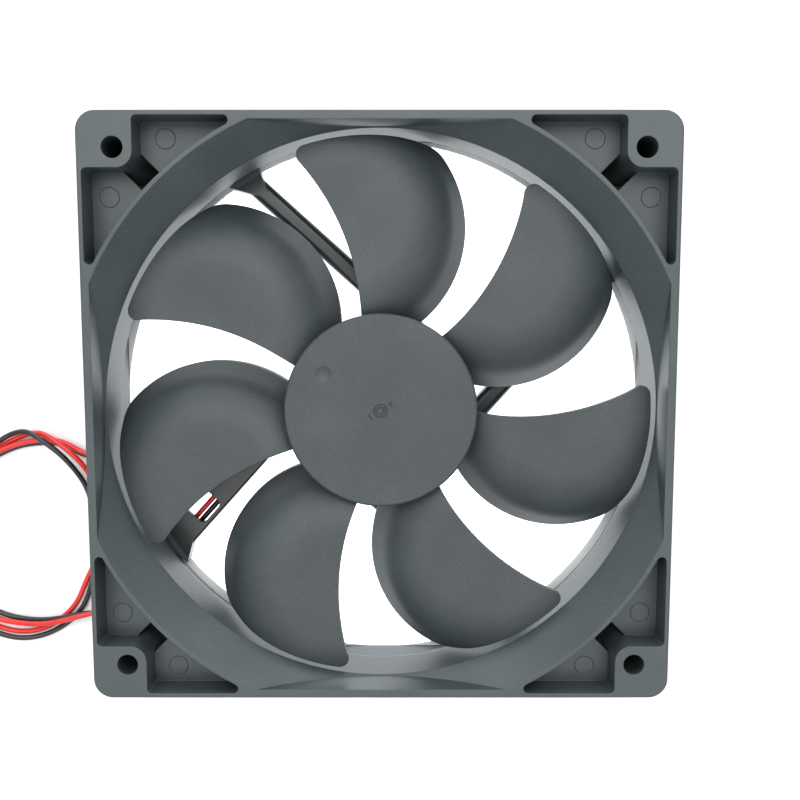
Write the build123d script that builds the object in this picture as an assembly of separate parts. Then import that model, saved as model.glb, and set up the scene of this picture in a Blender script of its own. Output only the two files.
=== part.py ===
from build123d import *
import math
import os

# Seven-blade axial case fan with a two-wire sleeve-bearing motor.
# Origin at the centre of the rear face, +Z along the axis towards the intake face.

# frame
frame_size = 119.4
frame_depth = 25.0
corner_radius = 4.0
edge_radius = 0.4
hole_inset = 7.2
hole_diameter = 4.3
side_wall = 1.0
duct_wall = 2.0
flare_height = 7.5
front_flare_width = 5.8
rear_flare_width = 2.1
lip_land = 0.85
facet_inset = 1.8
boss_width = 11.1
boss_inner_radius = 3.3
pocket_depth = 6.5
pocket_corner_radius = 1.0
web_thickness = 1.6
rear_pocket_wall = 1.8
slot_width = 5.1
pin_mark_diameter = 4.2
pin_mark_groove = 0.12

# struts and motor base
strut_count = 4
strut_angle = 48.2
strut_offset = 17.3
strut_width = 4.4
strut_height = 3.9
strut_foot = 2.0
strut_edge_radius = 1.4
channel_strut_offset = 14.9
channel_strut_width = 8.3
channel_wall = 1.2
channel_edge_radius = 0.7
window_corner_radius = 1.2
window_length = 6.4
window_distance = 11.0
base_lift = 0.3
base_thickness = 2.7
base_rim_wall = 1.5
base_rim_height = 1.6
base_boss_wall = 2.0
base_boss_height = 3.0
seat_radius = 1.2
label_radius = 11.0
label_thickness = 0.12
label_recess = 0.3
channel_end = -5.0
cavity_end = 0.5
notch_height = 2.6
notch_margin = 0.85

# impeller
blade_count = 7
first_blade_angle = -1.6
hub_radius = 20.0
hub_setback = 4.0
hub_top_thickness = 1.6
hub_wall = 1.5
hub_edge_chamfer = 0.35
tip_clearance = 1.5
blade_thickness = 1.5
blade_setback = 0.5
blade_drop = 11.8
blade_dome = 0.6
scoop_width = 6.2
scoop_bend_radius = 12.0
lead_corner_radius = 2.0
trail_corner_radius = 6.0
gate_radius = 1.5
gate_groove = 0.35
gate_depth = 0.2
gate_nub_radius = 0.55
notch_distance = 2.5
notch_size = (0.35, 1.1)
notch_angle = 32.0
dimple_radius = 1.7
dimple_depth = 0.4
dimple_distance = 14.0
dimple_angle = 146.8

# motor
shaft_radius = 1.5
bearing_clearance = 0.03
bearing_wall = 1.9
bearing_length = 8.4
tube_wall = 1.0
yoke_wall = 1.0
magnet_wall = 1.9
air_gap = 0.4
rotor_clearance = 0.6
end_gap = 0.8
winding_height = 2.1
winding_width = 2.2
insulator_thickness = 0.7
insulator_wall = 0.6
pole_count = 4
pole_width = 4.5
pole_shoe = 2.6
pole_slot = 3.0
board_thickness = 1.0
board_lift = 1.6
component_height = 1.0
core_hub_wall = 2.4
pin_count = 3
pin_distance = 1.1
leg_width = 2.2
fit_gap = 0.1
washer_thickness = 0.4
plug_thickness = 1.0
ring_thickness = 0.4
ring_groove = 0.35
ring_slit = 1.0
slinger_width = 1.0
slinger_height = 0.8
slinger_gap = 0.25
bush_radius = 3.6
bush_length = 4.2
bush_flange = 1.4
bush_sink = 0.6
pin_radius = 0.3
joint_radius = 0.6
joint_height = 1.3
pad_distance = -2.0

# leads and plug
wire_radius = 0.6
wire_pitch = 1.4
wire_gap = 0.35
plug_width = 5.8
plug_height = 4.8
plug_length = 7.8
plug_pitch = 2.0
plug_entry = 1.2
plug_edge_radius = 0.3
entry_gap = 0.25
cavity_width = 1.5
latch_width = 1.0
latch_start = 0.8
latch_end = 3.0
contact_wall = 0.3
contact_recess = 0.8
plug_place = (-62.9, -3.0, 2.4)
lead_height = 0.65

# free leads, lying on the table beside the frame
red_route = [
    (-59.7, -45.32, 0.65), (-62, -47.9, 0.65), (-65.4, -50.1, 0.9), (-70.1, -51, 2.5),
    (-79.6, -51.3, 2.5), (-85.9, -50.9, 0.9), (-91.2, -49.5, 0.65), (-96.1, -46.5, 0.65),
    (-99.8, -41.9, 0.65), (-101.8, -36.2, 0.65), (-102, -29.9, 0.65), (-100.2, -23.5, 0.65),
    (-96.8, -17.4, 0.65), (-92.3, -12.3, 0.65), (-87.5, -8.9, 0.65), (-82.2, -7.4, 0.9),
    (-77.4, -8.6, 2.5), (-71.2, -15.6, 2.5), (-68.1, -20.9, 0.9), (-66.5, -26.1, 0.65),
    (-66, -32, 0.65), (-66.9, -37.8, 0.65), (-69.4, -43.3, 0.65), (-72.9, -48.5, 0.65),
    (-77.4, -53, 0.65), (-82.8, -55.9, 0.65), (-88.9, -56.7, 0.65), (-95.3, -55, 0.65),
    (-101.1, -50.9, 0.65), (-105.4, -45.5, 0.65), (-107.5, -39.7, 0.65), (-107.8, -34.1, 0.65),
    (-106, -28.5, 0.9), (-102.9, -23.3, 2.5), (-94.1, -17.2, 2.5), (-88.4, -14.8, 0.9),
    (-83.3, -13.5, 0.65), (-78.2, -13, 0.65), (-73.6, -12.9, 0.65), (-69.5, -12.5, 0.65),
    (-66.1, -11.5, 0.65), (-63.5, -9.3, 0.9), (-62, -6.2, 2.2), (-61.9, -3, 2.4),
]
black_route = [
    (-59.7, -47.42, 0.65), (-61.4, -49.4, 0.65), (-65, -51.5, 0.9), (-69.9, -52.4, 2.5),
    (-79.6, -52.7, 2.5), (-86.1, -52.3, 0.9), (-91.8, -50.9, 0.65), (-97.1, -47.5, 0.65),
    (-101, -42.5, 0.65), (-103.2, -36.4, 0.65), (-103.4, -29.7, 0.65), (-101.6, -22.9, 0.65),
    (-98, -16.6, 0.65), (-93.3, -11.3, 0.65), (-88.1, -7.7, 0.65), (-82.2, -6, 0.9), (-76.6, -7.4, 2.5),
    (-70, -14.8, 2.5), (-66.9, -20.3, 0.9), (-65.1, -25.9, 0.65), (-64.6, -32, 0.65),
    (-65.5, -38.2, 0.65), (-68.2, -43.9, 0.65), (-71.9, -49.3, 0.65), (-76.6, -54.2, 0.65),
    (-82.4, -57.3, 0.65), (-89.1, -58.1, 0.65), (-95.9, -56.2, 0.65), (-102.1, -51.9, 0.65),
    (-106.6, -46.1, 0.65), (-108.9, -39.9, 0.65), (-109.2, -33.9, 0.65), (-107.2, -27.9, 0.9),
    (-103.9, -22.3, 2.5), (-94.7, -16, 2.5), (-88.8, -13.4, 0.9), (-83.5, -12.1, 0.65),
    (-78.2, -11.6, 0.65), (-73.6, -11.5, 0.65), (-69.7, -11.1, 0.65), (-66.7, -10.3, 0.65),
    (-64.7, -8.5, 1.2), (-63.8, -6, 2.2), (-63.9, -3, 2.4),
]


# derived sizes
half = frame_size / 2
hole_offset = half - hole_inset
duct_radius = half - duct_wall
facet_offset = half - facet_inset
front_flare_radius = duct_radius + front_flare_width
rear_flare_radius = duct_radius + rear_flare_width
boss_offset = half - boss_width
pocket_outer = half - side_wall
pocket_inner_radius = front_flare_radius + lip_land
rear_pocket_radius = rear_flare_radius + rear_pocket_wall
pocket_floor = frame_depth - pocket_depth
strut_bottom = base_lift
strut_top = strut_bottom + strut_height
base_top = base_lift + base_thickness
channel_low = channel_strut_offset - channel_strut_width / 2 + channel_wall
channel_high = channel_strut_offset + channel_strut_width / 2 - channel_wall
black_offset = channel_low + wire_gap + wire_radius
red_offset = black_offset + wire_pitch
channel_roof = strut_top - channel_wall
tip_radius = duct_radius - tip_clearance
blade_span = tip_radius - hub_radius
scoop_centre = hub_radius + 0.52 * blade_span
scoop_radius = 0.71 * blade_span
lead_centre = tip_radius
lead_radius = 1.363 * blade_span
lead_angle = 60.3
hub_face = frame_depth - hub_setback
hub_under = hub_face - hub_top_thickness
cup_bottom = base_top + base_rim_height + rotor_clearance
hub_bore = hub_radius - hub_wall
yoke_bore = hub_bore - yoke_wall
yoke_under = hub_under - yoke_wall
magnet_bore = yoke_bore - magnet_wall
core_radius = magnet_bore - air_gap
board_bottom = base_top + board_lift
board_top = board_bottom + board_thickness
winding_bottom = board_top + component_height + 3 * fit_gap
winding_top = yoke_under - end_gap
core_bottom = winding_bottom + winding_height + insulator_thickness
core_top = winding_top - winding_height - insulator_thickness
bearing_bore = shaft_radius + bearing_clearance
bearing_radius = bearing_bore + bearing_wall
tube_radius = bearing_radius + tube_wall
base_boss_radius = tube_radius + base_boss_wall
winding_inner = tube_radius + core_hub_wall + insulator_wall
winding_outer = core_radius - pole_shoe - insulator_wall
pin_radius_place = winding_inner + pin_distance
board_bore = base_boss_radius + 3 * fit_gap
board_radius = magnet_bore - fit_gap
plug_bottom = base_lift + label_recess + fit_gap
plug_top = plug_bottom + plug_thickness
pad_top = plug_top + 0.6
shaft_bottom = pad_top + 0.05
ring_bottom = shaft_bottom + 0.9
lower_washer_bottom = ring_bottom + ring_thickness + 0.15
bearing_bottom = lower_washer_bottom + washer_thickness
bush_top = hub_under + bush_sink
bush_bottom = bush_top - bush_length
bearing_top = min(bearing_bottom + bearing_length, bush_bottom - 2.4)
tube_top = bearing_top + washer_thickness + 1.2


def polar(radius, angle):
    """Point in the plane at a radius and an angle in degrees."""
    turn = math.radians(angle)
    return (radius * math.cos(turn), radius * math.sin(turn))


def disc(radius, bottom, top):
    """Upright cylinder on the axis from one height to another."""
    return Pos(0, 0, bottom) * Cylinder(radius, top - bottom, align=(Align.CENTER, Align.CENTER, Align.MIN))


def ring(inner, outer, bottom, top):
    """Upright ring on the axis from one height to another."""
    return disc(outer, bottom, top) - disc(inner, bottom, top)


def block(x_low, x_high, y_low, y_high, z_low, z_high):
    """Box given by its six faces."""
    size = (x_high - x_low, y_high - y_low, z_high - z_low)
    return Pos(x_low, y_low, z_low) * Box(*size, align=(Align.MIN, Align.MIN, Align.MIN))


def prism(sketch, bottom, top):
    """Plan outline raised between two heights."""
    return extrude(Pos(0, 0, bottom) * sketch, top - bottom)


def lead_start(offset):
    """Where a wire in the channel leaves the side of the frame, in strut coordinates."""
    sine = math.sin(math.radians(strut_angle))
    cosine = math.cos(math.radians(strut_angle))
    return -(half - offset * sine) / cosine


def save(node, shape):
    export_step(shape, f"parts/{node}.step")


# frame moulding

def duct_void():
    """Air passage: a cylinder flared at both ends, with flats where the flares meet the sides."""
    outline = [
        (0, -1),
        (rear_flare_radius + rear_flare_width / flare_height, -1),
        (duct_radius, flare_height),
        (duct_radius, frame_depth - flare_height),
        (front_flare_radius + front_flare_width / flare_height, frame_depth + 1),
        (0, frame_depth + 1),
    ]
    profile = Plane.XZ * make_face(Polyline(*outline, close=True))
    flared = revolve(profile, Axis.Z)
    return flared & block(-facet_offset, facet_offset, -facet_offset, facet_offset, -2, frame_depth + 2)


def pocket_plan(inner_radius):
    """The four corner pockets between the side walls, the screw bosses and the duct wall."""
    plan = Rectangle(2 * pocket_outer, 2 * pocket_outer) - Circle(inner_radius)
    boss = RectangleRounded(2 * boss_width, 2 * boss_width, boss_inner_radius)
    for x in (-half, half):
        for y in (-half, half):
            plan -= Pos(x, y) * boss
    outer_points = plan.vertices().filter_by(lambda v: max(abs(v.X), abs(v.Y)) > pocket_outer - 0.01)
    return fillet(outer_points, pocket_corner_radius)


def corner_slots():
    """Slot through each web, from the boss to the duct wall along the diagonal."""
    cuts = []
    for k in range(4):
        length = hole_offset * math.sqrt(2) - pocket_inner_radius
        along = pocket_inner_radius + length / 2
        bar = Pos(along, 0, frame_depth / 2) * Box(length, slot_width, frame_depth)
        boss = RectangleRounded(2 * boss_width, 2 * boss_width, boss_inner_radius)
        keep = prism(Pos(*polar(half * math.sqrt(2), 45)) * boss, 0, frame_depth)
        bar = Rot(0, 0, 45) * bar - keep
        cuts.append(Rot(0, 0, 90 * k) * bar)
    return cuts


def pin_marks():
    """Shallow witness rings that the ejector pins leave on the pocket floors."""
    marks = []
    mark = ring(pin_mark_diameter / 2 - pin_mark_groove, pin_mark_diameter / 2,
                pocket_floor - pin_mark_groove, pocket_floor + 1)
    reach = boss_offset - 5.0
    for k in range(4):
        for x, y in ((reach, half - 4.4), (half - 4.4, reach)):
            marks.append(Rot(0, 0, 90 * k) * Pos(x, y, 0) * mark)
    return marks


def strut(offset, width, edge):
    """One strut from the duct wall to the motor base, with rounded top edges and a wider foot."""
    reach = math.sqrt(duct_radius ** 2 - offset ** 2) + 1.5
    low, high = offset - width / 2, offset + width / 2
    outline = [
        (0, low),
        (2 * strut_foot - reach, low),
        (-reach, low - strut_foot),
        (-reach, high + strut_foot),
        (2 * strut_foot - reach, high),
        (0, high),
    ]
    bar = prism(make_face(Polyline(*outline, close=True)), strut_bottom, strut_top)
    top_edges = bar.edges().group_by(Axis.Z)[-1].filter_by(lambda e: e.length > strut_foot * 1.2)
    long_edges = top_edges.filter_by(Axis.X)
    return fillet(long_edges, edge)


def channel_cuts():
    """Wire channel open to the rear, its window, the slot in the base and the exit notch."""
    foot = -math.sqrt(duct_radius ** 2 - channel_strut_offset ** 2)
    middle = foot + window_distance
    start = middle - window_length / 2
    inside = disc(hub_bore - fit_gap * 3, -1, board_bottom)
    channel = block(-duct_radius, channel_end, channel_low, channel_high, -1, channel_roof)
    window = block(start, start + window_length, channel_low, channel_high, -1, strut_top + 1)
    window = fillet(window.edges().filter_by(Axis.Z), window_corner_radius)
    slot = block(-hub_bore, channel_end, channel_low, channel_high, -1, board_bottom) & inside
    cavity = block(-hub_bore, cavity_end, channel_low, channel_high, base_top, board_bottom) & inside
    wire_low = black_offset - notch_margin
    wire_high = red_offset + 2 * wire_radius
    notch = block(-2 * half, -duct_radius + 10, wire_low, wire_high, -1, notch_height)
    return [channel, window, slot, cavity, notch]


def motor_base():
    """Round base with a rim, a boss for the bearing tube and seats for the circuit board."""
    base = disc(hub_radius, base_lift, base_top)
    base += ring(hub_radius - base_rim_wall, hub_radius, base_top, base_top + base_rim_height)
    base += disc(base_boss_radius, base_top, base_top + base_boss_height)
    for k in range(3):
        x, y = polar(board_radius - 1.5, strut_angle + 75 + 105 * k)
        base += Pos(x, y, 0) * disc(seat_radius, base_top, board_bottom)
    return base


def make_frame():
    block_body = prism(RectangleRounded(frame_size, frame_size, corner_radius), 0, frame_depth)
    rims = block_body.edges().group_by(Axis.Z)
    block_body = fillet(rims[0] + rims[-1], edge_radius)
    body = block_body - duct_void()
    body -= prism(pocket_plan(pocket_inner_radius), pocket_floor, frame_depth + 1)
    body -= prism(pocket_plan(rear_pocket_radius), -1, pocket_floor - web_thickness)
    for cut in corner_slots() + pin_marks():
        body -= cut
    for k in range(strut_count):
        wide = k == 0
        offset = channel_strut_offset if wide else strut_offset
        width = channel_strut_width if wide else strut_width
        edge = channel_edge_radius if wide else strut_edge_radius
        body += Rot(0, 0, strut_angle + 90 * k) * strut(offset, width, edge)
    body += motor_base()
    for cut in channel_cuts():
        body -= Rot(0, 0, strut_angle) * cut
    body -= disc(tube_radius, -1, frame_depth)
    body -= disc(label_radius + 2 * fit_gap, -1, base_lift + label_recess)
    for x in (-hole_offset, hole_offset):
        for y in (-hole_offset, hole_offset):
            body -= Pos(x, y, 0) * disc(hole_diameter / 2, -1, frame_depth + 1)
    return body


# impeller

def blade_plan():
    """Plan of one blade: concave leading arc, convex trailing arc and rounded tip corners."""
    plan = Pos(scoop_centre, 0) * Circle(scoop_radius)
    plan &= Circle(tip_radius)
    plan -= Pos(*polar(lead_centre, lead_angle)) * Circle(lead_radius)
    plan -= Circle(hub_radius - hub_wall / 2)
    tips = plan.vertices().filter_by(lambda v: math.hypot(v.X, v.Y) > tip_radius - 0.01).sort_by(Axis.Y)
    plan = fillet(tips[-1], lead_corner_radius)
    tips = plan.vertices().filter_by(lambda v: math.hypot(v.X, v.Y) > tip_radius - 0.01).sort_by(Axis.Y)
    return fillet(tips[0], trail_corner_radius)


def blade_sheet():
    """Thin dished sheet turned about the scoop centre: nearly level, then steep at its rim."""
    crest = hub_face - blade_setback
    slope = math.atan2(blade_drop, scoop_width)
    bend = scoop_radius - scoop_width
    shift = blade_thickness * math.tan(slope / 2)
    run = scoop_width + 2
    fall = run * math.tan(slope)
    upper = [(0, crest - blade_dome), (bend, crest), (bend + run, crest - fall)]
    lower = [(x - shift, z - blade_thickness) for x, z in upper]
    lower[0] = (0, crest - blade_dome - blade_thickness)
    top_line = FilletPolyline(*upper, radius=scoop_bend_radius)
    low_line = FilletPolyline(*lower, radius=scoop_bend_radius - blade_thickness)
    ends = [Line(upper[0], lower[0]), Line(upper[-1], lower[-1])]
    profile = Plane.XZ * make_face([top_line, low_line] + ends)
    return Pos(scoop_centre, 0, 0) * revolve(profile, Axis.Z)


def make_impeller():
    hub = disc(hub_radius, cup_bottom, hub_face)
    hub = chamfer(hub.edges().group_by(Axis.Z)[-1], hub_edge_chamfer)
    blade = prism(blade_plan(), cup_bottom, hub_face) & blade_sheet()
    for k in range(blade_count):
        hub += Rot(0, 0, first_blade_angle + 360 * k / blade_count) * blade
    hub -= disc(hub_bore, cup_bottom - 1, hub_under)
    hub -= disc(bush_radius, hub_under - 1, bush_top)
    return hub - gate_mark() - dimple()


def gate_mark():
    """Witness of the moulding gate: a shallow groove round a nub, and two short notches."""
    low = hub_face - gate_depth
    mark = ring(gate_radius - gate_groove, gate_radius, low, hub_face + 1)
    mark += ring(gate_nub_radius, gate_nub_radius + gate_groove, low, hub_face + 1)
    for side in (0, 180):
        notch = Pos(notch_distance, 0, hub_face) * Box(*notch_size, 2 * gate_depth)
        mark += Rot(0, 0, notch_angle + side) * notch
    return mark


def dimple():
    """Shallow spherical hollow that marks the rotor's balance position."""
    sphere_radius = (dimple_radius ** 2 + dimple_depth ** 2) / (2 * dimple_depth)
    x, y = polar(dimple_distance, dimple_angle)
    return Pos(x, y, hub_face - dimple_depth + sphere_radius) * Sphere(sphere_radius)


# rotor

def make_yoke():
    cup = disc(hub_bore, cup_bottom + 0.4, hub_under) - disc(yoke_bore, cup_bottom, yoke_under)
    return cup - disc(bush_radius, yoke_under - 1, hub_under + 1)


def make_magnet():
    return ring(magnet_bore, yoke_bore, core_bottom - 1.6, core_top + 1.6)


def make_bush():
    bush = disc(bush_radius, bush_bottom, bush_top)
    bush += disc(bush_radius + bush_flange, yoke_under - 0.8, yoke_under)
    return bush - disc(shaft_radius, bush_bottom - 1, bush_top - 0.3)


def make_shaft():
    shaft = disc(shaft_radius, shaft_bottom, bush_top - 0.3)
    shaft = fillet(shaft.edges().group_by(Axis.Z)[0], shaft_radius * 0.6)
    ring_top = ring_bottom + ring_thickness
    return shaft - ring(shaft_radius - ring_groove, shaft_radius + 1, ring_bottom, ring_top)


def make_snap_ring():
    ring_top = ring_bottom + ring_thickness
    ring_body = ring(shaft_radius - ring_groove, bearing_radius - 0.7, ring_bottom, ring_top)
    slit = block(0, bearing_radius, -ring_slit / 2, ring_slit / 2, ring_bottom - 1, ring_bottom + 1)
    return ring_body - slit


def make_oil_slinger():
    bottom = bearing_top + washer_thickness + slinger_gap
    return ring(shaft_radius, shaft_radius + slinger_width, bottom, bottom + slinger_height)


# bearing

def make_tube():
    return ring(bearing_radius, tube_radius, plug_bottom, tube_top)


def make_bearing():
    bearing = ring(bearing_bore, bearing_radius, bearing_bottom, bearing_top)
    rims = bearing.edges().filter_by(GeomType.CIRCLE).filter_by(lambda e: e.radius > bearing_radius - 0.01)
    return chamfer(rims, 0.3)


def make_end_plug():
    return disc(bearing_radius, plug_bottom, plug_top)


def make_thrust_pad():
    return disc(bearing_radius - 0.8, plug_top, pad_top)


def make_washer(bottom):
    return ring(shaft_radius + fit_gap, bearing_radius - fit_gap, bottom, bottom + washer_thickness)


# stator

def core_plan():
    """Salient-pole lamination: a ring on the tube, four necks and four pole shoes."""
    plan = Circle(core_radius) - Circle(core_radius - pole_shoe)
    plan += Circle(tube_radius + core_hub_wall)
    for k in range(pole_count):
        neck = Pos(core_radius / 2, 0) * Rectangle(core_radius - 1, pole_width)
        plan += Rot(0, 0, 90 * k) * neck
    for k in range(pole_count):
        gap = Pos(core_radius, 0) * Rectangle(2 * pole_shoe + 2, pole_slot)
        plan -= Rot(0, 0, 45 + 90 * k) * gap
    return plan - Circle(tube_radius)


def make_core():
    return prism(core_plan(), core_bottom, core_top)


def make_insulator(side):
    """Bobbin half on one end of the core, with walls that keep the windings in place."""
    near = core_top if side > 0 else core_bottom
    far = near + side * insulator_thickness
    wall = far + side * winding_height
    low, high = min(near, far), max(near, far)
    wall_low, wall_high = min(near, wall), max(near, wall)
    half_body = prism(core_plan(), low, high)
    half_body += ring(tube_radius, winding_inner, low, high)
    half_body += ring(winding_inner - insulator_wall, winding_inner, wall_low, wall_high)
    outer_wall = ring(winding_outer, winding_outer + insulator_wall, wall_low, wall_high)
    for k in range(pole_count):
        slot = Pos(core_radius, 0, 0) * Box(3 * pole_shoe + 8, pole_slot, 4 * frame_depth)
        outer_wall -= Rot(0, 0, 45 + 90 * k) * slot
    half_body += outer_wall
    if side < 0:
        for k in range(pin_count):
            leg = block(winding_inner - 1, winding_inner + leg_width, -leg_width / 2, leg_width / 2,
                        board_top, high)
            half_body += Rot(0, 0, 45 + 90 * k) * leg
        for pin in terminal_pin_solids():
            half_body -= pin
    return half_body


def make_coil(k):
    """One winding round a pole neck, as a rounded rectangular ring."""
    length = winding_outer - winding_inner
    middle = (winding_outer + winding_inner) / 2
    inner = (pole_width + 2 * fit_gap, core_top - core_bottom + 2 * insulator_thickness)
    outer = (inner[0] + 2 * winding_width, inner[1] + 2 * winding_height)
    plan = RectangleRounded(*outer, 1.6) - Rectangle(*inner)
    coil = Plane.YZ * extrude(plan, length / 2, both=True)
    coil = Pos(middle, 0, (core_top + core_bottom) / 2) * coil
    return Rot(0, 0, 90 * k) * (coil & ring(winding_inner, winding_outer, 0, frame_depth))


def terminal_pin_solids():
    """Three pins from the bobbin's legs down through the board."""
    pins = []
    for k in range(pin_count):
        x, y = polar(pin_radius_place, 45 + 90 * k)
        height = 2 * board_thickness + 0.9
        pin = Cylinder(pin_radius, height, align=(Align.CENTER, Align.CENTER, Align.MIN))
        pins.append(Pos(x, y, board_bottom - 0.5) * pin)
    return pins


def make_terminal_pins():
    return Compound(children=terminal_pin_solids())


# circuit board

def pad_places():
    """Solder pads of the red and black wires, in the channel strut's coordinates."""
    return [(pad_distance, red_offset), (pad_distance, black_offset)]


def chip(length, width, height, radius, angle):
    """Small component lying on the board at a radius and an angle."""
    body = block(-width / 2, width / 2, -length / 2, length / 2, board_top, board_top + height)
    return Rot(0, 0, angle) * Pos(radius, 0, 0) * body


def make_board():
    board = ring(board_bore, board_radius, board_bottom, board_top)
    for k in range(pin_count):
        x, y = polar(pin_radius_place, 45 + 90 * k)
        board -= Pos(x, y, board_bottom) * Cylinder(pin_radius, 3 * board_thickness)
    return board


def make_solder_joints():
    """Solder fillets under the board where the two wires end."""
    joints = []
    for x, y in pad_places():
        joint = Cylinder(joint_radius, joint_height, align=(Align.CENTER, Align.CENTER, Align.MAX))
        joints.append(Rot(0, 0, strut_angle) * Pos(x + joint_radius, y, board_bottom) * joint)
    return Compound(children=joints)


# leads

def inner_wire(index):
    """Wire from its solder joint, down through the base and along the channel to the frame's side."""
    x, offset = pad_places()[index]
    run_height = 1.3
    start_height = base_top + wire_radius + fit_gap
    points = [
        (x, offset, start_height),
        (x - 4.0, offset, start_height - 0.05),
        (x - 9.0, offset, run_height),
        (lead_start(offset) + 14.0, offset, run_height + 0.1),
        (lead_start(offset) + 8.0, offset, lead_height + 0.05),
        (lead_start(offset), offset, lead_height),
    ]
    return Rot(0, 0, strut_angle) * tube(points)


def corner_radii(points):
    """As large an arc at each point of a route as its two runs leave room for."""
    places = [Vector(*p) for p in points]
    radii = []
    for a, b, c in zip(places, places[1:], places[2:]):
        turn = math.radians((b - a).get_angle(c - b))
        radii.append(0.45 * min((b - a).length, (c - b).length) / math.tan(turn / 2))
    return radii


def tube(points):
    """Round wire along straight runs joined by tangent arcs."""
    path = FilletPolyline(*points, radius=corner_radii(points))
    start = Plane(origin=path @ 0, z_dir=path % 0)
    wire = sweep(start * Circle(wire_radius), path)
    print("wire length", round(path.length, 1), "least bend", round(min(corner_radii(points)), 1),
          "volume ratio", round(wire.volume / (math.pi * wire_radius ** 2 * path.length), 4))
    return wire


# plug

def plug_box(x_size, y_low, y_high, z_size, x_shift=0):
    """Box centred on a wire's line, between two distances from the wires' ends."""
    x, y, z = plug_place
    middle = x + x_shift
    half = x_size / 2
    return block(middle - half, middle + half, y + y_low, y + y_high, z - z_size / 2, z + z_size / 2)


def make_plug_housing():
    """Two-way housing: wire entries, contact cavities and a latch window over each."""
    x, y, z = plug_place
    body = plug_box(plug_width, -plug_entry, plug_length - plug_entry, plug_height)
    body = fillet(body.edges().filter_by(Axis.Y), plug_edge_radius)
    above = block(x - plug_width, x + plug_width, y - plug_length, y + plug_length, z, z + plug_height)
    for side in (-1, 1):
        shift = side * plug_pitch / 2
        entry_plane = Plane(origin=(x + shift, y - plug_entry - 1, z), z_dir=(0, 1, 0))
        entry = entry_plane * Circle(wire_radius + entry_gap)
        body -= extrude(entry, plug_entry + 1)
        body -= plug_box(cavity_width, 0, plug_length, cavity_width, shift)
        body -= plug_box(latch_width, latch_start, latch_end, 2 * plug_height, shift) & above
    return body


def make_plug_contacts():
    """Crimped box contacts, one on each wire, locked in the housing."""
    contacts = []
    size = cavity_width - 2 * fit_gap
    bore = size - 2 * contact_wall
    for side in (-1, 1):
        shift = side * plug_pitch / 2
        contact = plug_box(size, fit_gap / 2, plug_length - plug_entry - contact_recess, size, shift)
        contact -= plug_box(bore, latch_end + 2 * fit_gap, plug_length, bore, shift)
        contacts.append(contact)
    return Compound(children=contacts)


def make_label():
    top = base_lift + label_recess
    return disc(label_radius, top - label_thickness, top)


parts = {
    "frame": make_frame(),
    "bearing_tube": make_tube(),
    "sleeve_bearing": make_bearing(),
    "upper_washer": make_washer(bearing_top),
    "lower_washer": make_washer(lower_washer_bottom),
    "thrust_pad": make_thrust_pad(),
    "end_plug": make_end_plug(),
    "rear_label": make_label(),
    "stator_core": make_core(),
    "upper_insulator": make_insulator(1),
    "lower_insulator": make_insulator(-1),
    "terminal_pins": make_terminal_pins(),
    "circuit_board": make_board(),
    "driver_chip": chip(4.9, 3.9, component_height, 10.6, 315),
    "hall_sensor": chip(2.9, 1.6, component_height, 13.6, 5),
    "capacitor": chip(3.2, 1.6, component_height, 12.4, 183),
    "diode": chip(2.6, 1.6, component_height - 0.1, 12.8, 268),
    "resistor": chip(2.0, 1.2, component_height / 2, 12.2, 92),
    "solder_joints": make_solder_joints(),
    "red_wire_inside": inner_wire(0),
    "black_wire_inside": inner_wire(1),
    "red_lead": tube(red_route),
    "black_lead": tube(black_route),
    "plug_housing": make_plug_housing(),
    "plug_contacts": make_plug_contacts(),
    "impeller": make_impeller(),
    "rotor_yoke": make_yoke(),
    "ring_magnet": make_magnet(),
    "shaft_bush": make_bush(),
    "shaft": make_shaft(),
    "snap_ring": make_snap_ring(),
    "oil_slinger": make_oil_slinger(),
}
for k in range(pole_count):
    parts[f"coil_{k + 1}"] = make_coil(k)

os.makedirs("parts", exist_ok=True)
for node, shape in parts.items():
    save(node, shape)
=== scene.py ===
import math
import bmesh
import bpy
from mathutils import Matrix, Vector


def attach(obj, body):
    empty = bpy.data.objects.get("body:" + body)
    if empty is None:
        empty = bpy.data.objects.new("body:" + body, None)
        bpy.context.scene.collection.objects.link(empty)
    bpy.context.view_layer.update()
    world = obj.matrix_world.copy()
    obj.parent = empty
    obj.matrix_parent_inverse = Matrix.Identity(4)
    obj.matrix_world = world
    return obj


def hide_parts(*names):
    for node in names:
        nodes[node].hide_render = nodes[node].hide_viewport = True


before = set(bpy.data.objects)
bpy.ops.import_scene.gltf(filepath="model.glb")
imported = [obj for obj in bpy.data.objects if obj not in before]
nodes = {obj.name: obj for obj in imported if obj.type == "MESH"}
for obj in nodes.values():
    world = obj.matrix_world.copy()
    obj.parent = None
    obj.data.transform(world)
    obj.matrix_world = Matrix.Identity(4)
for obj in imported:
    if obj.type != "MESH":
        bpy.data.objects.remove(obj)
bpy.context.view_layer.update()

mm = 0.001


def linearColour(hexText, alpha=1.0):
    parts = [int(hexText[i:i + 2], 16) / 255 for i in (1, 3, 5)]
    curve = [c / 12.92 if c <= 0.04045 else ((c + 0.055) / 1.055) ** 2.4 for c in parts]
    return (*curve, alpha)


def addNode(tree, kind, at, settings=None, links=None):
    node = tree.nodes.new(kind)
    node.location = at
    for name, value in (settings or {}).items():
        if isinstance(name, str) and hasattr(node, name):
            setattr(node, name, value)
        else:
            node.inputs[name].default_value = value
    for socket, source in (links or {}).items():
        tree.links.new(source, node.inputs[socket])
    return node


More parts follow.
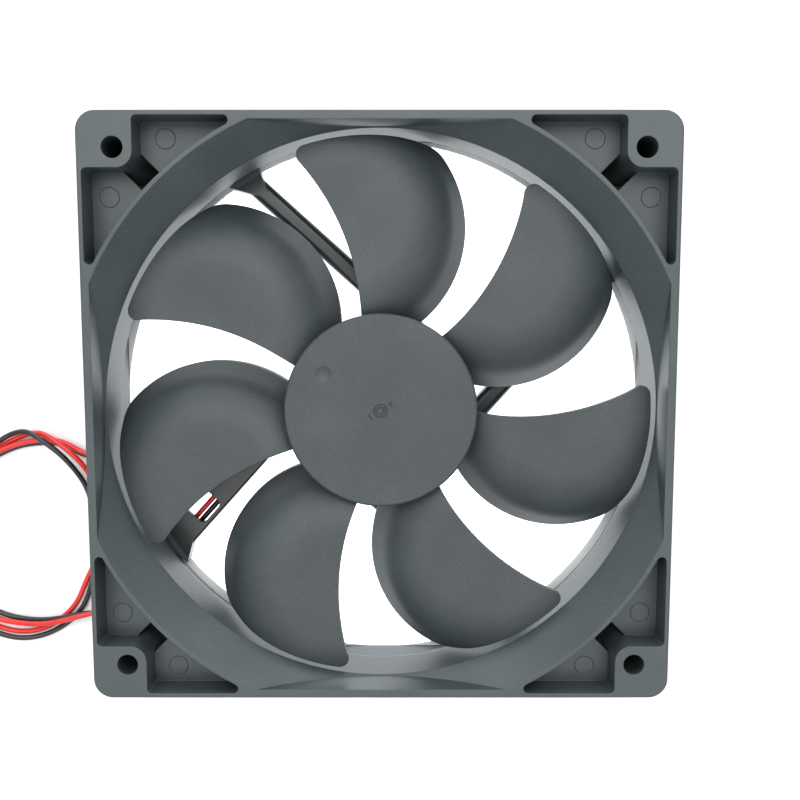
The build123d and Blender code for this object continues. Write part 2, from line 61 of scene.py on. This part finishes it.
def newMaterial(name):
    material = bpy.data.materials.new(name)
    material.use_nodes = True
    tree = material.node_tree
    tree.nodes.clear()
    output = addNode(tree, "ShaderNodeOutputMaterial", (600, 0))
    shader = addNode(tree, "ShaderNodeBsdfPrincipled", (300, 0))
    tree.links.new(shader.outputs["BSDF"], output.inputs["Surface"])
    place = addNode(tree, "ShaderNodeTexCoord", (-1400, 0))
    return material, tree, shader, place.outputs["Object"]


def setRamp(ramp, stops):
    elements = ramp.color_ramp.elements
    while len(elements) < len(stops):
        elements.new(0.5)
    for element, (where, colour) in zip(elements, stops):
        element.position = where
        element.color = colour


def paint(nodeNames, material):
    for name in nodeNames:
        mesh = nodes[name].data
        mesh.materials.clear()
        mesh.materials.append(material)


# camera and light

cameraPlan = {
    "place": (0.0040, 0.0202, 0.2022),
    "tilt": -5.64,
    "lens": 39.8,
}

cameraData = bpy.data.cameras.new("camera")
cameraData.lens = cameraPlan["lens"]
cameraData.sensor_width = 36
cameraData.clip_start = 0.01
camera = bpy.data.objects.new("camera", cameraData)
camera.location = cameraPlan["place"]
camera.rotation_euler = (math.radians(cameraPlan["tilt"]), 0, 0)
bpy.context.scene.collection.objects.link(camera)
bpy.context.scene.camera = camera

lightPlan = {
    "softboxes": {
        "overheadFar": {"glow": 3.5, "size": (1.1, 0.50), "place": (0.0, 0.38, 0.84)},
        "overheadNear": {"glow": 1.9, "size": (1.1, 0.34), "place": (0.0, -0.31, 0.87)},
        "farWall": {"glow": 3.0, "size": (1.8, 0.5), "place": (0.0, 1.05, 0.27)},
    },
    "worldLight": 0.95,
    "floorSize": 4.0,
    "cardRadius": 0.058, "cardGlow": 1.9,
}


def addSoftbox(name, plan):
    data = bpy.data.lights.new(name, "AREA")
    data.shape = "RECTANGLE"
    data.size, data.size_y = plan["size"]
    data.energy = math.pi * data.size * data.size_y * plan["glow"]
    lamp = bpy.data.objects.new(name, data)
    lamp.location = plan["place"]
    lamp.rotation_euler = Vector(plan["place"]).to_track_quat("Z", "Y").to_euler()
    bpy.context.scene.collection.objects.link(lamp)


for name, plan in lightPlan["softboxes"].items():
    addSoftbox(name, plan)

world = bpy.data.worlds.new("studio")
world.use_nodes = True
bpy.context.scene.world = world
sky = world.node_tree.nodes["Background"]
sky.inputs["Color"].default_value = linearColour("#f4f6f7")
sky.inputs["Strength"].default_value = lightPlan["worldLight"]
bpy.context.scene.view_settings.view_transform = "Standard"

bed = bmesh.new()
bmesh.ops.create_grid(bed, x_segments=1, y_segments=1, size=lightPlan["floorSize"] / 2)
floorMesh = bpy.data.meshes.new("floor")
bed.to_mesh(floorMesh)
bed.free()
floor = bpy.data.objects.new("floor", floorMesh)
bpy.context.scene.collection.objects.link(floor)
floorMaterial, tree, shader, place = newMaterial("mattWhiteCard")  # plain coated card: white, no sheen
shader.inputs["Base Color"].default_value = linearColour("#f6f7f7")
shader.inputs["Roughness"].default_value = 0.9
floorMesh.materials.append(floorMaterial)

bed = bmesh.new()
bmesh.ops.create_circle(bed, cap_ends=True, segments=96, radius=lightPlan["cardRadius"])
bmesh.ops.translate(bed, verts=bed.verts, vec=(0, 0, 0.00005))
cardMesh = bpy.data.meshes.new("backCard")
bed.to_mesh(cardMesh)
bed.free()
card = bpy.data.objects.new("backCard", cardMesh)
bpy.context.scene.collection.objects.link(card)
# lit from behind, keeps the duct open and bright
cardMaterial, tree, shader, place = newMaterial("backlitCard")
shader.inputs["Base Color"].default_value = linearColour("#f6f7f7")
shader.inputs["Emission Color"].default_value = linearColour("#f6fbff")
shader.inputs["Emission Strength"].default_value = lightPlan["cardGlow"]
cardMesh.materials.append(cardMaterial)
print("camera, light and floor are in place")


# leads, each a single smooth line on the table

leadPlan = {
    "diameter": 1.2 * mm,
    "redLength": 0.2517,
    "blackLength": 0.2620,
}

redPoints = [
    (-59.7, -45.32, 0.65), (-61.3, -47, 0.8), (-64.2, -48.6, 1.82), (-68.6, -49.4, 3.18),
    (-77.6, -51.8, 3.12), (-84.42, -51.96, 2), (-90.72, -51.04, 1.24), (-95.87, -47.7, 0.68),
    (-99.8, -42.3, 0.65), (-101.8, -36.2, 0.65), (-102, -29.9, 0.65), (-100.32, -23.44, 0.63),
    (-97.23, -17.26, 0.62), (-92.58, -12.96, 0.62), (-88.4, -10.59, 0.63), (-84.6, -8.6, 0.65),
    (-80.73, -7.19, 0.92), (-76.69, -7.07, 3.03), (-69.96, -11.91, 3.57), (-66.89, -17.41, 1.13),
    (-65.38, -23.92, 0.65), (-65.25, -30.61, 0.62), (-66.6, -36.78, 0.62), (-69.56, -42.64, 0.64),
    (-71.71, -47.79, 0.64), (-76.59, -52.27, 0.64), (-82.06, -54.39, 0.64), (-87.54, -54.22, 0.64),
    (-94.1, -51.56, 0.64), (-100.59, -48.37, 0.64), (-105, -44.2, 0.65), (-107.3, -39.5, 0.65),
    (-107.8, -34.1, 0.65), (-105.99, -28.51, 0.9), (-102.43, -22.76, 3.06), (-94.06, -14.55, 4.5),
    (-88.77, -11.86, 2.31), (-84, -9.7, 1.72), (-79, -8.7, 1.7), (-73.6, -8.8, 1.68),
    (-68.8, -11.7, 1.79), (-65.2, -12.4, 2), (-62.2, -9.6, 2), (-61.9, -6.2, 2.3),
    (-61.9, -3, 2.4),
]

blackPoints = [
    (-59.7, -47.42, 0.65), (-61, -49, 0.65), (-64.4, -49.9, 0.74), (-68.6, -49.3, 1.91),
    (-77.6, -51.2, 1.91), (-84.57, -51.33, 0.69), (-90.47, -49.66, 0.64), (-94.94, -46.51, 0.64),
    (-98.6, -41.6, 0.65), (-100.5, -36.2, 0.65), (-100.7, -30, 0.65), (-98.84, -24.1, 0.84),
    (-95.42, -17.12, 3.17), (-91.8, -12.2, 2.3), (-87.91, -9.09, 1.86), (-84.4, -7.1, 1.85),
    (-80.93, -6.49, 3.07), (-77.4, -8, 4.44), (-72.21, -12.52, 3.34), (-68.38, -19.21, 0.86),
    (-67.07, -25.07, 0.65), (-67.12, -30.99, 0.93), (-66.18, -37.02, 2.42), (-68.02, -43.37, 0.84),
    (-70.5, -49.21, 0.63), (-75.81, -53.72, 0.7), (-81.75, -55.7, 1.45), (-87.45, -55.37, 1.71),
    (-94.11, -52.84, 1.19), (-101.42, -50.04, 0.67), (-106.2, -45.2, 0.65), (-108.6, -39.9, 0.65),
    (-109.1, -33.9, 0.65), (-107.21, -27.89, 0.9), (-104.07, -22.16, 2.75), (-94.94, -15.75, 1.79),
    (-88.93, -12.54, 0.62), (-84, -10.3, 0.62), (-79, -9.5, 0.62), (-73.6, -9.7, 0.62),
    (-68.8, -12.6, 0.62), (-65.6, -12.3, 0.65), (-64, -9.4, 1.2), (-63.9, -6, 2.2),
    (-63.9, -3, 2.4),
]


def layLead(name, points, material):
    data = bpy.data.curves.new(name, "CURVE")
    data.dimensions = "3D"
    spline = data.splines.new("NURBS")
    spline.points.add(len(points) - 1)
    for point, (x, y, z) in zip(spline.points, points):
        point.co = (x * mm, y * mm, z * mm, 1)
    spline.order_u = 3
    spline.use_endpoint_u = True
    spline.resolution_u = 10
    data.bevel_depth = leadPlan["diameter"] / 2
    data.bevel_resolution = 5
    data.use_fill_caps = True
    data.materials.append(material)
    lead = bpy.data.objects.new(name, data)
    bpy.context.scene.collection.objects.link(lead)
    return lead


redInsulation = {
    "light": "#d8251d", "dark": "#c41c16", "roughness": 0.3, "ior": 1.53,
    "cloud": 3.0 * mm, "skin": 0.5 * mm, "skinStrength": 0.12, "skinDepth": 0.05 * mm,
}
blackInsulation = {
    "light": "#1b191a", "dark": "#141213", "roughness": 0.3, "ior": 1.53,
    "cloud": 3.0 * mm, "skin": 0.5 * mm, "skinStrength": 0.12, "skinDepth": 0.05 * mm,
}


def insulationMaterial(name, plan):
    material, tree, shader, place = newMaterial(name)
    cloud = addNode(tree, "ShaderNodeTexNoise", (-900, 0), {"Scale": 1 / plan["cloud"], "Detail": 3.0},
                    {"Vector": place})
    ramp = addNode(tree, "ShaderNodeValToRGB", (-500, 0), {}, {"Fac": cloud.outputs["Fac"]})
    setRamp(ramp, [(0.35, linearColour(plan["dark"])), (0.65, linearColour(plan["light"]))])
    tree.links.new(ramp.outputs["Color"], shader.inputs["Base Color"])
    shader.inputs["Roughness"].default_value = plan["roughness"]
    shader.inputs["IOR"].default_value = plan["ior"]
    skin = addNode(tree, "ShaderNodeTexNoise", (-900, -300), {"Scale": 1 / plan["skin"], "Detail": 2.0},
                   {"Vector": place})
    bump = addNode(tree, "ShaderNodeBump", (0, -300),
                   {"Strength": plan["skinStrength"], "Distance": plan["skinDepth"]},
                   {"Height": skin.outputs["Fac"]})
    tree.links.new(bump.outputs["Normal"], shader.inputs["Normal"])
    return material


redPvc = insulationMaterial("extrudedRedPvc", redInsulation)  # saturated, soft waxy sheen
blackPvc = insulationMaterial("extrudedBlackPvc", blackInsulation)  # near black, reads by its sheen
redLead = layLead("redLead", redPoints, redPvc)
blackLead = layLead("blackLead", blackPoints, blackPvc)
for lead, node, points, length in (
    (redLead, "red_lead", redPoints, leadPlan["redLength"]),
    (blackLead, "black_lead", blackPoints, leadPlan["blackLength"]),
):
    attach(lead, "frame")
    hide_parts(node)
print("leads are laid")


# moulded plastic, for the frame and the impeller

framePlastic = {
    "base": "#373f41", "light": "#434c4f", "dark": "#2d3537", "speck": "#5d6467", "dust": 2.4 * mm,
    "grain": 0.24 * mm, "grainDepth": 0.03 * mm, "grainStrength": 0.4, "roughness": (0.4, 0.52),
    "edge": 0.22 * mm,
    "flow": 14 * mm, "ior": 1.55,
    # painted shade: the next two lines darken the colour in deep slots and on the rear struts; only the
    # struts' smoother roughness is real
    "hollow": 5.0 * mm, "hollowPaintedShade": 0.22,
    "strutTop": 5.0 * mm, "strutReach": 57.0 * mm, "strutPaintedShade": 0.35, "strutRoughness": 0.3,
}
impellerPlastic = {
    "base": "#2e3538", "light": "#3d4548", "dark": "#22282a", "speck": "#6a7073", "dust": 2.8 * mm,
    "grain": 0.22 * mm, "grainDepth": 0.03 * mm, "grainStrength": 0.55, "roughness": (0.48, 0.62),
    "edge": 0.25 * mm,
    "flow": 14 * mm, "ior": 1.55,
}


def mouldedPlastic(name, plan):
    material, tree, shader, place = newMaterial(name)
    grain = addNode(tree, "ShaderNodeTexNoise", (-1100, 200),
                    {"Scale": 1 / plan["grain"], "Detail": 3.0, "Roughness": 0.6}, {"Vector": place})
    flow = addNode(tree, "ShaderNodeTexNoise", (-1100, -100),
                   {"Scale": 1 / plan["flow"], "Detail": 4.0}, {"Vector": place})
    tone = addNode(tree, "ShaderNodeMix", (-850, 100), {"data_type": "FLOAT", "Factor": 0.3},
                   {"A": grain.outputs["Fac"], "B": flow.outputs["Fac"]})
    ramp = addNode(tree, "ShaderNodeValToRGB", (-600, 200), {}, {"Fac": tone.outputs["Result"]})
    setRamp(ramp, [(0.34, linearColour(plan["dark"])), (0.5, linearColour(plan["base"])),
                   (0.66, linearColour(plan["light"]))])
    dust = addNode(tree, "ShaderNodeTexVoronoi", (-1100, 500), {"Scale": 1 / plan["dust"]},
                   {"Vector": place})
    near = addNode(tree, "ShaderNodeMapRange", (-850, 500),
                   {"From Min": 0.02, "From Max": 0.05, "To Min": 0.5, "To Max": 0.0},
                   {"Value": dust.outputs["Distance"]})
    mixed = addNode(tree, "ShaderNodeMix", (-300, 300), {"data_type": "RGBA"},
                    {"Factor": near.outputs["Result"]})
    mixed.inputs[7].default_value = linearColour(plan["speck"])
    tree.links.new(ramp.outputs["Color"], mixed.inputs[6])
    colour = mixed.outputs[2]
    rough = addNode(tree, "ShaderNodeMapRange", (-300, -50),
                    {"From Min": 0.3, "From Max": 0.7, "To Min": plan["roughness"][0],
                     "To Max": plan["roughness"][1]},
                    {"Value": grain.outputs["Fac"]})
    roughness = rough.outputs["Result"]
    if "hollow" in plan:  # painted shade: the colour is darkened in the deep corner slots, by ambient occlusion, and on the rear struts
        # painted shade from ambient occlusion: the base colour is scaled down in slots and corners
        hollow = addNode(tree, "ShaderNodeAmbientOcclusion", (-300, 700),
                         {"samples": 6, "only_local": True, "Distance": plan["hollow"]})
        shade = addNode(tree, "ShaderNodeMapRange", (-100, 700),
                        {"From Min": 0.1, "From Max": 0.45, "To Min": plan["hollowPaintedShade"],
                         "To Max": 1.0},
                        {"Value": hollow.outputs["AO"]})
        axes = addNode(tree, "ShaderNodeSeparateXYZ", (-1100, 900), {}, {"Vector": place})
        level = addNode(tree, "ShaderNodeCombineXYZ", (-900, 1000), {},
                        {"X": axes.outputs["X"], "Y": axes.outputs["Y"]})
        reach = addNode(tree, "ShaderNodeVectorMath", (-700, 1000), {"operation": "LENGTH"},
                        {"Vector": level.outputs["Vector"]})
        low = addNode(tree, "ShaderNodeMath", (-500, 900),
                      {"operation": "LESS_THAN", 1: plan["strutTop"]}, {0: axes.outputs["Z"]})
        inside = addNode(tree, "ShaderNodeMath", (-500, 1050),
                         {"operation": "LESS_THAN", 1: plan["strutReach"]},
                         {0: reach.outputs["Value"]})
        strut = addNode(tree, "ShaderNodeMath", (-300, 950), {"operation": "MULTIPLY"},
                        {0: low.outputs["Value"], 1: inside.outputs["Value"]})
        # painted shade on the rear struts: colour darkened for the shadow under the impeller, partly
        # the real darker look of their smoother polish
        strutPaintedShade = addNode(tree, "ShaderNodeMapRange", (-100, 950),
                             {"To Min": 1.0, "To Max": plan["strutPaintedShade"]},
                             {"Value": strut.outputs["Value"]})
        # slot shade and strut shade together, both painted into the colour
        paintedShadeFactor = addNode(tree, "ShaderNodeMath", (60, 800), {"operation": "MULTIPLY"},
                       {0: shade.outputs["Result"], 1: strutPaintedShade.outputs["Result"]})
        dim = addNode(tree, "ShaderNodeVectorMath", (160, 500), {"operation": "SCALE"},
                      {"Vector": colour, "Scale": paintedShadeFactor.outputs["Value"]})
        colour = dim.outputs["Vector"]
        sheen = addNode(tree, "ShaderNodeMix", (60, -50), {"data_type": "FLOAT"},
                        {"Factor": strut.outputs["Value"], "A": roughness})
        sheen.inputs["B"].default_value = plan["strutRoughness"]
        roughness = sheen.outputs["Result"]
    tree.links.new(colour, shader.inputs["Base Color"])
    tree.links.new(roughness, shader.inputs["Roughness"])
    shader.inputs["IOR"].default_value = plan["ior"]
    edge = addNode(tree, "ShaderNodeBevel", (-300, -400), {"samples": 6, "Radius": plan["edge"]})
    bump = addNode(tree, "ShaderNodeBump", (0, -300),
                   {"Strength": plan["grainStrength"], "Distance": plan["grainDepth"]},
                   {"Height": grain.outputs["Fac"], "Normal": edge.outputs["Normal"]})
    tree.links.new(bump.outputs["Normal"], shader.inputs["Normal"])
    return material


# spark-eroded tool texture: fine matt speckle, softened edges, smoother on the rear struts; painted
# shade darkens the deep corner slots and the rear struts
paint(["frame"], mouldedPlastic("sparkTexturedPbt", framePlastic))
# same resin off a rougher tool: drier and a shade darker
paint(["impeller"], mouldedPlastic("sparkTexturedPbtRotor", impellerPlastic))
print("plastic is moulded")


# inner pieces: a cloudy tone, a fine grain and, where the process leaves them, regular marks

waveTurn = 2 * math.pi / 20


def processFinish(name, plan):
    material, tree, shader, place = newMaterial(name)
    cloud = addNode(tree, "ShaderNodeTexNoise", (-1100, 200),
                    {"Scale": 1 / plan["cloud"], "Detail": 4.0}, {"Vector": place})
    ramp = addNode(tree, "ShaderNodeValToRGB", (-800, 200), {}, {"Fac": cloud.outputs["Fac"]})
    setRamp(ramp, [(0.35, linearColour(plan["dark"])), (0.65, linearColour(plan["light"]))])
    colour = ramp.outputs["Color"]
    grain = addNode(tree, "ShaderNodeTexNoise", (-1100, -200),
                    {"Scale": 1 / plan["grain"], "Detail": 3.0}, {"Vector": place})
    height = grain.outputs["Fac"]
    if "marks" in plan:
        kind, direction, pitch, markHex, width = plan["marks"]
        settings = {"wave_type": kind, "Scale": waveTurn / pitch, "Distortion": 0.0}
        settings["bands_direction" if kind == "BANDS" else "rings_direction"] = direction
        marks = addNode(tree, "ShaderNodeTexWave", (-1100, 600), settings, {"Vector": place})
        line = addNode(tree, "ShaderNodeMapRange", (-800, 600), {"From Min": width, "From Max": 0.0},
                       {"Value": marks.outputs["Fac"]})
        mixed = addNode(tree, "ShaderNodeMix", (-400, 400), {"data_type": "RGBA"},
                        {"Factor": line.outputs["Result"]})
        tree.links.new(colour, mixed.inputs[6])
        mixed.inputs[7].default_value = linearColour(markHex)
        colour = mixed.outputs[2]
        height = marks.outputs["Fac"]
    tree.links.new(colour, shader.inputs["Base Color"])
    rough = addNode(tree, "ShaderNodeMapRange", (-300, -50),
                    {"From Min": 0.3, "From Max": 0.7, "To Min": plan["roughness"][0],
                     "To Max": plan["roughness"][1]},
                    {"Value": grain.outputs["Fac"]})
    tree.links.new(rough.outputs["Result"], shader.inputs["Roughness"])
    shader.inputs["Metallic"].default_value = plan.get("metal", 0.0)
    bump = addNode(tree, "ShaderNodeBump", (0, -300),
                   {"Strength": plan.get("relief", 0.2), "Distance": plan["depth"]},
                   {"Height": height})
    tree.links.new(bump.outputs["Normal"], shader.inputs["Normal"])
    return material


# lathe-turned brass: warm, with fine tool rings that catch the light
turnedBrass = {
    "dark": "#a8854a", "light": "#c6a463", "cloud": 4 * mm, "grain": 0.1 * mm,
    "roughness": (0.24, 0.36), "metal": 1.0,
    "marks": ("BANDS", "Z", 0.25 * mm, "#8f7040", 0.2), "depth": 0.01 * mm,
}
paint(["bearing_tube", "shaft_bush"], processFinish("turnedBrass", turnedBrass))

# pressed and sintered bronze: brown, open pores, oil-dark patches
sinteredBronze = {
    "dark": "#5e4029", "light": "#8b6846", "cloud": 0.8 * mm, "grain": 0.12 * mm,
    "roughness": (0.45, 0.7), "metal": 1.0,
    "depth": 0.03 * mm, "relief": 0.5,
}
paint(["sleeve_bearing"], processFinish("oilSinteredBronze", sinteredBronze))

# natural nylon: off-white, faintly cloudy, soft sheen
naturalNylon = {
    "dark": "#cdc8ba", "light": "#e1dccf", "cloud": 3 * mm, "grain": 0.2 * mm, "roughness": (0.38, 0.5),
    "depth": 0.01 * mm,
}
paint(["upper_washer", "lower_washer", "thrust_pad", "snap_ring"],
      processFinish("naturalNylon", naturalNylon))

# cured rubber: dull black with a grey bloom
curedRubber = {
    "dark": "#171718", "light": "#262627", "cloud": 1.5 * mm, "grain": 0.15 * mm,
    "roughness": (0.65, 0.8), "depth": 0.02 * mm,
}
paint(["end_plug", "oil_slinger"], processFinish("curedBlackRubber", curedRubber))

# punched and stacked electrical steel: grey sheets, each edge a thin dark line
stackedSteel = {
    "dark": "#7c7e80", "light": "#9b9c9e", "cloud": 2.5 * mm, "grain": 0.15 * mm,
    "roughness": (0.35, 0.5), "metal": 1.0,
    "marks": ("BANDS", "Z", 0.5 * mm, "#3b3836", 0.25), "depth": 0.03 * mm,
}
paint(["stator_core"], processFinish("stackedElectricalSteel", stackedSteel))

# deep-drawn steel cup: zinc grey with draw streaks round the wall
drawnSteel = {
    "dark": "#85888b", "light": "#a3a6a8", "cloud": 5 * mm, "grain": 0.1 * mm,
    "roughness": (0.28, 0.42), "metal": 1.0,
    "marks": ("BANDS", "Z", 0.6 * mm, "#797c7f", 0.3), "depth": 0.008 * mm,
}
paint(["rotor_yoke"], processFinish("deepDrawnZincedSteel", drawnSteel))

# glass-filled black nylon: satin, very faintly flecked
filledNylon = {
    "dark": "#1d1d1f", "light": "#2d2d30", "cloud": 0.5 * mm, "grain": 0.2 * mm,
    "roughness": (0.42, 0.58), "depth": 0.02 * mm,
}
paint(["upper_insulator", "lower_insulator"], processFinish("glassFilledNylon", filledNylon))

# hot-dipped tin: bright, slightly rippled
dippedTin = {
    "dark": "#b4b4b1", "light": "#d2d2cf", "cloud": 0.6 * mm, "grain": 0.2 * mm,
    "roughness": (0.18, 0.32), "metal": 1.0,
    "depth": 0.02 * mm,
}
paint(["terminal_pins", "plug_contacts", "solder_joints"], processFinish("hotDippedTin", dippedTin))

# solder-masked laminate: green film over paler rings of track
maskedLaminate = {
    "dark": "#174a2a", "light": "#22653b", "cloud": 1.2 * mm, "grain": 0.15 * mm,
    "roughness": (0.28, 0.4),
    "marks": ("RINGS", "Z", 1.6 * mm, "#3a8a55", 0.12), "depth": 0.02 * mm,
}
paint(["circuit_board"], processFinish("solderMaskedLaminate", maskedLaminate))

# transfer-moulded epoxy: matt charcoal with filler speckle
mouldedEpoxy = {
    "dark": "#19191b", "light": "#29292b", "cloud": 0.3 * mm, "grain": 0.1 * mm,
    "roughness": (0.48, 0.62), "depth": 0.01 * mm,
}
paint(["driver_chip", "hall_sensor", "diode", "resistor"],
      processFinish("transferMouldedEpoxy", mouldedEpoxy))

# fired ceramic: tan, smooth, faintly mottled
firedCeramic = {
    "dark": "#8b6c49", "light": "#a88762", "cloud": 0.4 * mm, "grain": 0.1 * mm,
    "roughness": (0.32, 0.45), "depth": 0.005 * mm,
}
paint(["capacitor"], processFinish("firedCeramic", firedCeramic))

# enamelled copper winding: turn beside turn, dark between them
woundCopper = {
    "dark": "#97481f", "light": "#bb6835", "cloud": 1.5 * mm, "grain": 0.2 * mm,
    "roughness": (0.22, 0.34), "metal": 1.0,
    "marks": ("RINGS", "Z", 0.22 * mm, "#3c1809", 0.35), "depth": 0.08 * mm, "relief": 0.8,
}
paint(["coil_1", "coil_2", "coil_3", "coil_4"], processFinish("enamelledCopperWinding", woundCopper))

# milky nylon for the plug: off-white, soft sheen
plugNylon = {
    "dark": "#d6d1c2", "light": "#e6e1d4", "cloud": 2 * mm, "grain": 0.2 * mm,
    "roughness": (0.36, 0.46), "depth": 0.01 * mm,
}
paint(["plug_housing"], processFinish("milkyNylon", plugNylon))

# bonded ferrite: charcoal, gritty, faint brown cast
bondedFerrite = {
    "dark": "#221f1f", "light": "#353131", "cloud": 0.7 * mm, "grain": 0.1 * mm,
    "roughness": (0.55, 0.7), "depth": 0.02 * mm,
    "relief": 0.4,
}
paint(["ring_magnet"], processFinish("bondedFerrite", bondedFerrite))

# centreless-ground steel: almost mirror, the finest grind lines round it
groundSteel = {
    "dark": "#b5b6b8", "light": "#c7c8c9", "cloud": 3 * mm, "grain": 0.08 * mm,
    "roughness": (0.12, 0.2), "metal": 1.0,
    "marks": ("BANDS", "Z", 0.12 * mm, "#a5a6a8", 0.2), "depth": 0.003 * mm,
}
paint(["shaft"], processFinish("centrelessGroundSteel", groundSteel))

# printed film: silver ground with plain dark rules, no lettering
printedFilm = {
    "dark": "#bcbec0", "light": "#cfd1d3", "cloud": 6 * mm, "grain": 0.2 * mm, "roughness": (0.3, 0.4),
    "marks": ("BANDS", "Y", 4.5 * mm, "#34373a", 0.08), "depth": 0.005 * mm,
}
paint(["rear_label"], processFinish("printedSilverFilm", printedFilm))

paint(["red_wire_inside"], redPvc)
paint(["black_wire_inside"], blackPvc)
print("inner pieces are finished")
